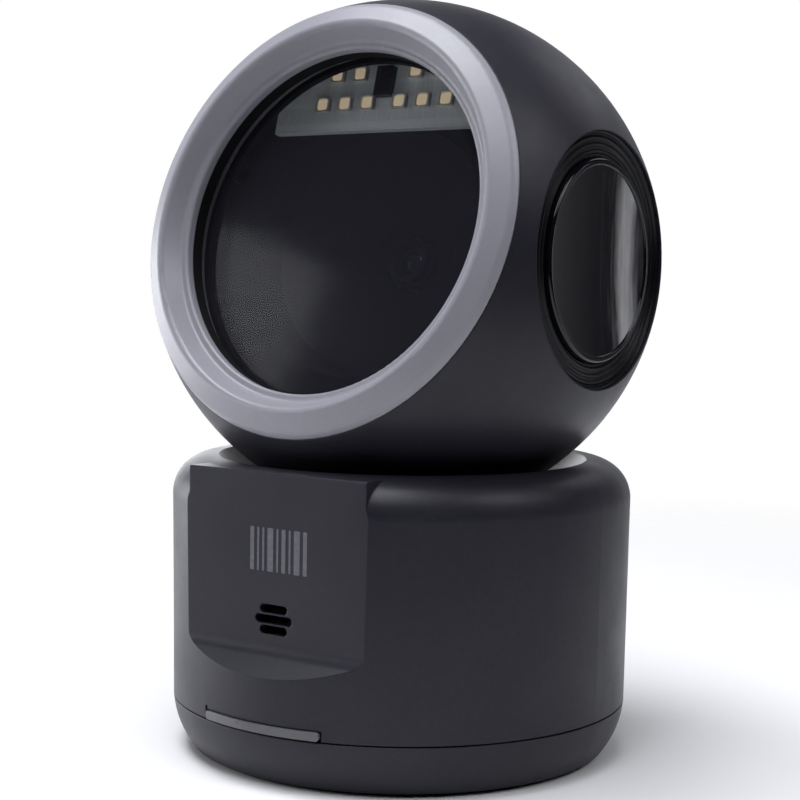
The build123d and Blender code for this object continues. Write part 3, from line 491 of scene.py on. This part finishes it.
# ---- side discs ----
PEG_LONG, PEG_R, PEGS_AT, PEG_SUNK = 1.7 * MM, 1.2 * MM, 14.0 * MM, 0.3 * MM
PEG_ANGLES = (90, 210, 330)
DISH_DEEP, DISH_LIP, DISH_LAND, DISC_ROUND = 1.15 * MM, 0.28 * MM, 1.1 * MM, 0.6 * MM
DISH_RINGS = (0.97, 0.9, 0.8, 0.7, 0.6, 0.5, 0.4, 0.3, 0.2, 0.1, 0.0)    # shares of the dish's radius
DISC_CREASE = 50                                                        # degrees


def side_discs():
    """Dished discs with a continuous polish and pegs behind them, in place of the CAD caps."""
    for side, node in ((1, "side_cap_right"), (-1, "side_cap_left")):
        low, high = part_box(node)
        radius = (high.y - low.y) / 2
        rim = max(abs(low.x), abs(high.x))
        back = min(abs(low.x), abs(high.x)) + PEG_LONG
        sideways = Matrix.Rotation(side * pi / 2, 4, "Y")
        profile = [(0.0, back), (radius * 0.9, back), (radius, back), (radius, rim - DISC_ROUND * 1.2)]
        profile += arc((radius - DISC_ROUND, rim - DISC_ROUND), DISC_ROUND, 0, 90)
        land = radius - DISH_LAND
        profile += arc((land, rim - DISH_LIP), DISH_LIP, 90, 180, 4)
        edge = land - DISH_LIP
        drop = DISH_DEEP - DISH_LIP
        sphere = (edge**2 + drop**2) / (2 * drop)
        for share in DISH_RINGS:
            r = edge * share
            profile.append((r, rim - DISH_DEEP + sphere - sqrt(sphere**2 - r**2)))
        mesh = bmesh.new()
        add_turned(mesh, HEAD @ sideways, profile)
        for angle in PEG_ANGLES:
            y, z = PEGS_AT * cos(radians(angle)), PEGS_AT * sin(radians(angle))
            peg = [(0.0, back - PEG_LONG), (PEG_R * 0.85, back - PEG_LONG), (PEG_R, back - PEG_LONG * 0.9),
                   (PEG_R, back + PEG_SUNK), (0.0, back + PEG_SUNK)]
            add_turned(mesh, HEAD @ Matrix.Translation(Vector((0, y, z))) @ sideways, peg, 24)
        disc = piece("polished_disc_" + node.split("_")[-1], mesh, "head", "gloss_black")
        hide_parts(node)
        smooth(disc, DISC_CREASE)


# ---- light packages behind the window ----
PAD_WIDE, PAD_HIGH, PAD_TOP = 0.3 * MM, 0.3 * MM, 0.42 * MM
CUP_CORNER, MOUTH_CORNER, BOTTOM_CORNER = 0.15 * MM, 0.55 * MM, 0.5 * MM
MOUTH_IN, BOTTOM_IN = 0.85 * MM, 1.25 * MM      # how much narrower than the package, across
MOUTH_DOWN, BOTTOM_DOWN = 0.5 * MM, 0.9 * MM    # the same, along its height
CUP_DEEP, FILL_START = 0.35 * MM, 0.34 * MM     # below the package's front
FILL_DEEP, FILL_CROWN = 0.20 * MM, 0.08 * MM
FILL_RINGS = (0.0, 0.35, 0.65, 0.9)             # how far in each ring of the fill lies
def light_packages():
    """Reflector cups, phosphor and end pads, in place of the plain CAD packages."""
    cups, fills, pads = bmesh.new(), bmesh.new(), bmesh.new()
    for low, high in solids_of("illumination_leds", HEAD):
        wide, tall, thick = high - low
        centre = (low + high) / 2
        here = HEAD @ Matrix.Translation(Vector((centre.x, centre.y, low.z)))
        outer = rounded_outline(wide - PAD_WIDE, tall, CUP_CORNER)
        mouth = rounded_outline(wide - MOUTH_IN, tall - MOUTH_DOWN, MOUTH_CORNER)
        bottom = rounded_outline(wide - BOTTOM_IN, tall - BOTTOM_DOWN, BOTTOM_CORNER)
        add_rings(cups, here, [(outer, 0.0), (outer, thick), (mouth, thick), (bottom, thick - CUP_DEEP)])
        rings = []
        for share in FILL_RINGS:
            outline = [(x * (1 - share), y * (1 - share)) for x, y in bottom]
            rings.append((outline, thick - FILL_DEEP + FILL_CROWN * share))
        rings.insert(0, (bottom, thick - FILL_START))
        add_rings(fills, here, rings)
        for side in (-1, 1):
            end = Matrix.Translation(Vector((side * (wide - PAD_WIDE) / 2, 0, 0)))
            pad = rounded_outline(PAD_WIDE, tall - 0.7 * MM, 0.1 * MM)
            foot = [(x, y * 1.05) for x, y in pad]
            crest = [(x * 0.6, y * 0.9) for x, y in pad]
            add_rings(pads, here @ end, [(foot, 0.0), (pad, PAD_HIGH), (crest, PAD_TOP)])
    cup = piece("lamp_cups", cups, "head", "lamp_white")
    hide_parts("illumination_leds")
    fill = piece("lamp_phosphor", fills, "head", "lamp_amber")
    pad = piece("lamp_pads", pads, "head", "plain_steel")
    for thing in (cup, fill, pad):
        smooth(thing)


# ---- mark on the front panel ----
MARK_BARS = (0.9, 0.45, 0.45, 1.35, 0.45, 0.9, 0.45, 1.35, 0.9)   # bar widths, mm
MARK_GAP, MARK_HIGH, MARK_MIDDLE_X, MARK_Z = 0.75, 8.0, 1.0, 43.0
MARK_CORNER, INK_SUNK, INK_PROUD = 0.2, 0.02, 0.03
FORWARD = -0.999                              # a face's normal along Y when it looks forward
PANEL_X, PANEL_LOW, PANEL_HIGH = 0.02, 0.03, 0.054    # metres; the flat panel lies inside this


def panel_mark():
    """A plain row of bars, printed on the panel above the slots."""
    mesh = bmesh.new()
    upright = Matrix.Rotation(pi / 2, 4, "X")
    face_y = panel_front()
    x = MARK_MIDDLE_X - (sum(MARK_BARS) + MARK_GAP * (len(MARK_BARS) - 1)) / 2
    for width in MARK_BARS:
        here = Matrix.Translation(Vector(((x + width / 2) * MM, face_y, MARK_Z * MM))) @ upright
        outline = rounded_outline(width * MM, MARK_HIGH * MM, MARK_CORNER * MM, 3)
        add_prism(mesh, here, outline, -INK_SUNK * MM, INK_PROUD * MM)
        x += width + MARK_GAP
    mark = piece("panel_mark", mesh, "base", "mark_grey")
    smooth(mark)


def panel_front():
    """Depth of the flat front panel, from the housing's faces that look forward above the slots."""
    best = 0.0
    for face in NODES["base_housing"].data.polygons:
        centre = face.center
        if face.normal.y < FORWARD and abs(centre.x) < PANEL_X and PANEL_LOW < centre.z < PANEL_HIGH:
            best = min(best, centre.y)
    return best


# ---- stage ----
FLOOR_RADIUS = 0.55
BACKDROP = Vector((-0.66, 0.58, -0.48))     # direction of the lit backdrop, behind the object's left and low
BACKDROP_GLOW, ROOM_GLOW = 0.80, 0.015      # light from the backdrop's side and from the dark side
BACKDROP_FULL = 0.95                        # cosine to the backdrop where it reaches its full light
FLOOR_SOLID, FLOOR_GONE = 0.16, 0.42        # radii between which the sheet fades out
COOL = (0.94, 0.95, 1.0)
BODY_AIM, DISC_AIM = (0, 0, 0.07), (0.044, 0, 0.096)
LIGHTS = (                                  # name, place, aim, width, height, power in watts
    ("top", (-0.08, -0.12, 0.80), BODY_AIM, 0.40, 0.40, 4.6),
    ("top_left", (-0.34, -0.04, 0.75), BODY_AIM, 0.20, 0.20, 0.9),
    ("front", (0.15, -0.35, 0.70), BODY_AIM, 0.35, 0.35, 1.7),
    ("right", (0.55, 0.08, 0.60), BODY_AIM, 0.35, 0.35, 1.5),
    ("left_back", (-0.55, 0.50, 0.15), BODY_AIM, 0.40, 0.30, 1.4),
    ("left_low", (-0.65, -0.15, 0.08), BODY_AIM, 0.60, 0.30, 2.6),
    ("window_glow", (-0.735, -0.60, 0.30), BODY_AIM, 0.32, 0.38, 1.0),
    ("disc_strip", (0.497, 0.667, 0.13), DISC_AIM, 0.035, 0.40, 0.09),
    ("disc_glint", (0.495, 0.665, 0.108), DISC_AIM, 0.040, 0.06, 0.009),
    ("back", (0.10, 0.60, 0.52), BODY_AIM, 0.35, 0.25, 0.30))


def floor():
    """Round pale sheet under the object."""
    mesh = bmesh.new()
    bmesh.ops.create_circle(mesh, cap_ends=True, segments=96, radius=FLOOR_RADIUS)
    data = bpy.data.meshes.new("floor")
    mesh.to_mesh(data)
    mesh.free()
    sheet = bpy.data.objects.new("floor", data)
    bpy.context.scene.collection.objects.link(sheet)
    finish = Finish("floor_paper", Roughness=0.9, Specular_IOR_Level=0.1)
    finish.set(Base_Color=finish.mix(finish.noise(3, 3), (0.86, 0.86, 0.86), (0.90, 0.90, 0.90)))
    reach = finish.add("ShaderNodeVectorMath", {"operation": "LENGTH"})
    finish.feed(reach.inputs[0], finish.place)
    finish.set(Alpha=finish.span(reach.outputs["Value"], FLOOR_SOLID, FLOOR_GONE, 1.0, 0.0))
    data.materials.append(finish.material)


def area_light(name, at, towards, width, height, power):
    light = bpy.data.lights.new(name, "AREA")
    light.shape = "RECTANGLE"
    light.size, light.size_y = width, height
    light.energy = power
    light.color = COOL
    thing = bpy.data.objects.new(name, light)
    bpy.context.scene.collection.objects.link(thing)
    thing.location = at
    thing.rotation_euler = (Vector(towards) - Vector(at)).to_track_quat("-Z", "Y").to_euler()


def room():
    """World light, bright on the backdrop's side and dim opposite. The camera itself sees a white page."""
    world = bpy.data.worlds.new("room")
    bpy.context.scene.world = world
    world.use_nodes = True
    tree = world.node_tree
    glow = tree.nodes["Background"]
    glow.inputs["Color"].default_value = (*COOL, 1.0)
    facing = tree.nodes.new("ShaderNodeVectorMath")
    facing.operation = "DOT_PRODUCT"
    facing.inputs[1].default_value = BACKDROP.normalized()
    tree.links.new(tree.nodes.new("ShaderNodeTexCoord").outputs["Generated"], facing.inputs[0])
    level = tree.nodes.new("ShaderNodeMapRange")
    level.interpolation_type = "SMOOTHSTEP"
    level.inputs["From Min"].default_value = 0.0
    level.inputs["From Max"].default_value = BACKDROP_FULL
    level.inputs["To Min"].default_value = ROOM_GLOW
    level.inputs["To Max"].default_value = BACKDROP_GLOW
    tree.links.new(facing.outputs["Value"], level.inputs["Value"])
    tree.links.new(level.outputs["Result"], glow.inputs["Strength"])
    page = tree.nodes.new("ShaderNodeBackground")
    page.inputs["Color"].default_value = (1.0, 1.0, 1.0, 1.0)
    seen = tree.nodes.new("ShaderNodeLightPath").outputs["Is Camera Ray"]
    either = tree.nodes.new("ShaderNodeMixShader")
    tree.links.new(seen, either.inputs[0])
    tree.links.new(glow.outputs[0], either.inputs[1])
    tree.links.new(page.outputs[0], either.inputs[2])
    tree.links.new(either.outputs[0], tree.nodes["World Output"].inputs["Surface"])


def studio():
    """Soft lights round the object, and the narrow ones that the side disc mirrors."""
    room()
    for light in LIGHTS:
        area_light(*light)
    bpy.context.scene.view_settings.view_transform = "Standard"


def camera():
    azimuth, drop, roll = radians(CAMERA_AZIMUTH), radians(CAMERA_DROP), radians(CAMERA_ROLL)
    forward = Vector((-sin(azimuth) * cos(drop), cos(azimuth) * cos(drop), -sin(drop)))
    data = bpy.data.cameras.new("camera")
    data.lens = CAMERA_LENS
    thing = bpy.data.objects.new("camera", data)
    bpy.context.scene.collection.objects.link(thing)
    thing.location = CAMERA_AIM - forward * CAMERA_DISTANCE
    turn = forward.to_track_quat("-Z", "Y").to_matrix() @ Matrix.Rotation(roll, 3, "Z")
    thing.rotation_euler = turn.to_euler()
    bpy.context.scene.camera = thing


camera()
studio()
floor()
paint_cad_nodes()
clean_poles()
side_discs()
light_packages()
panel_mark()
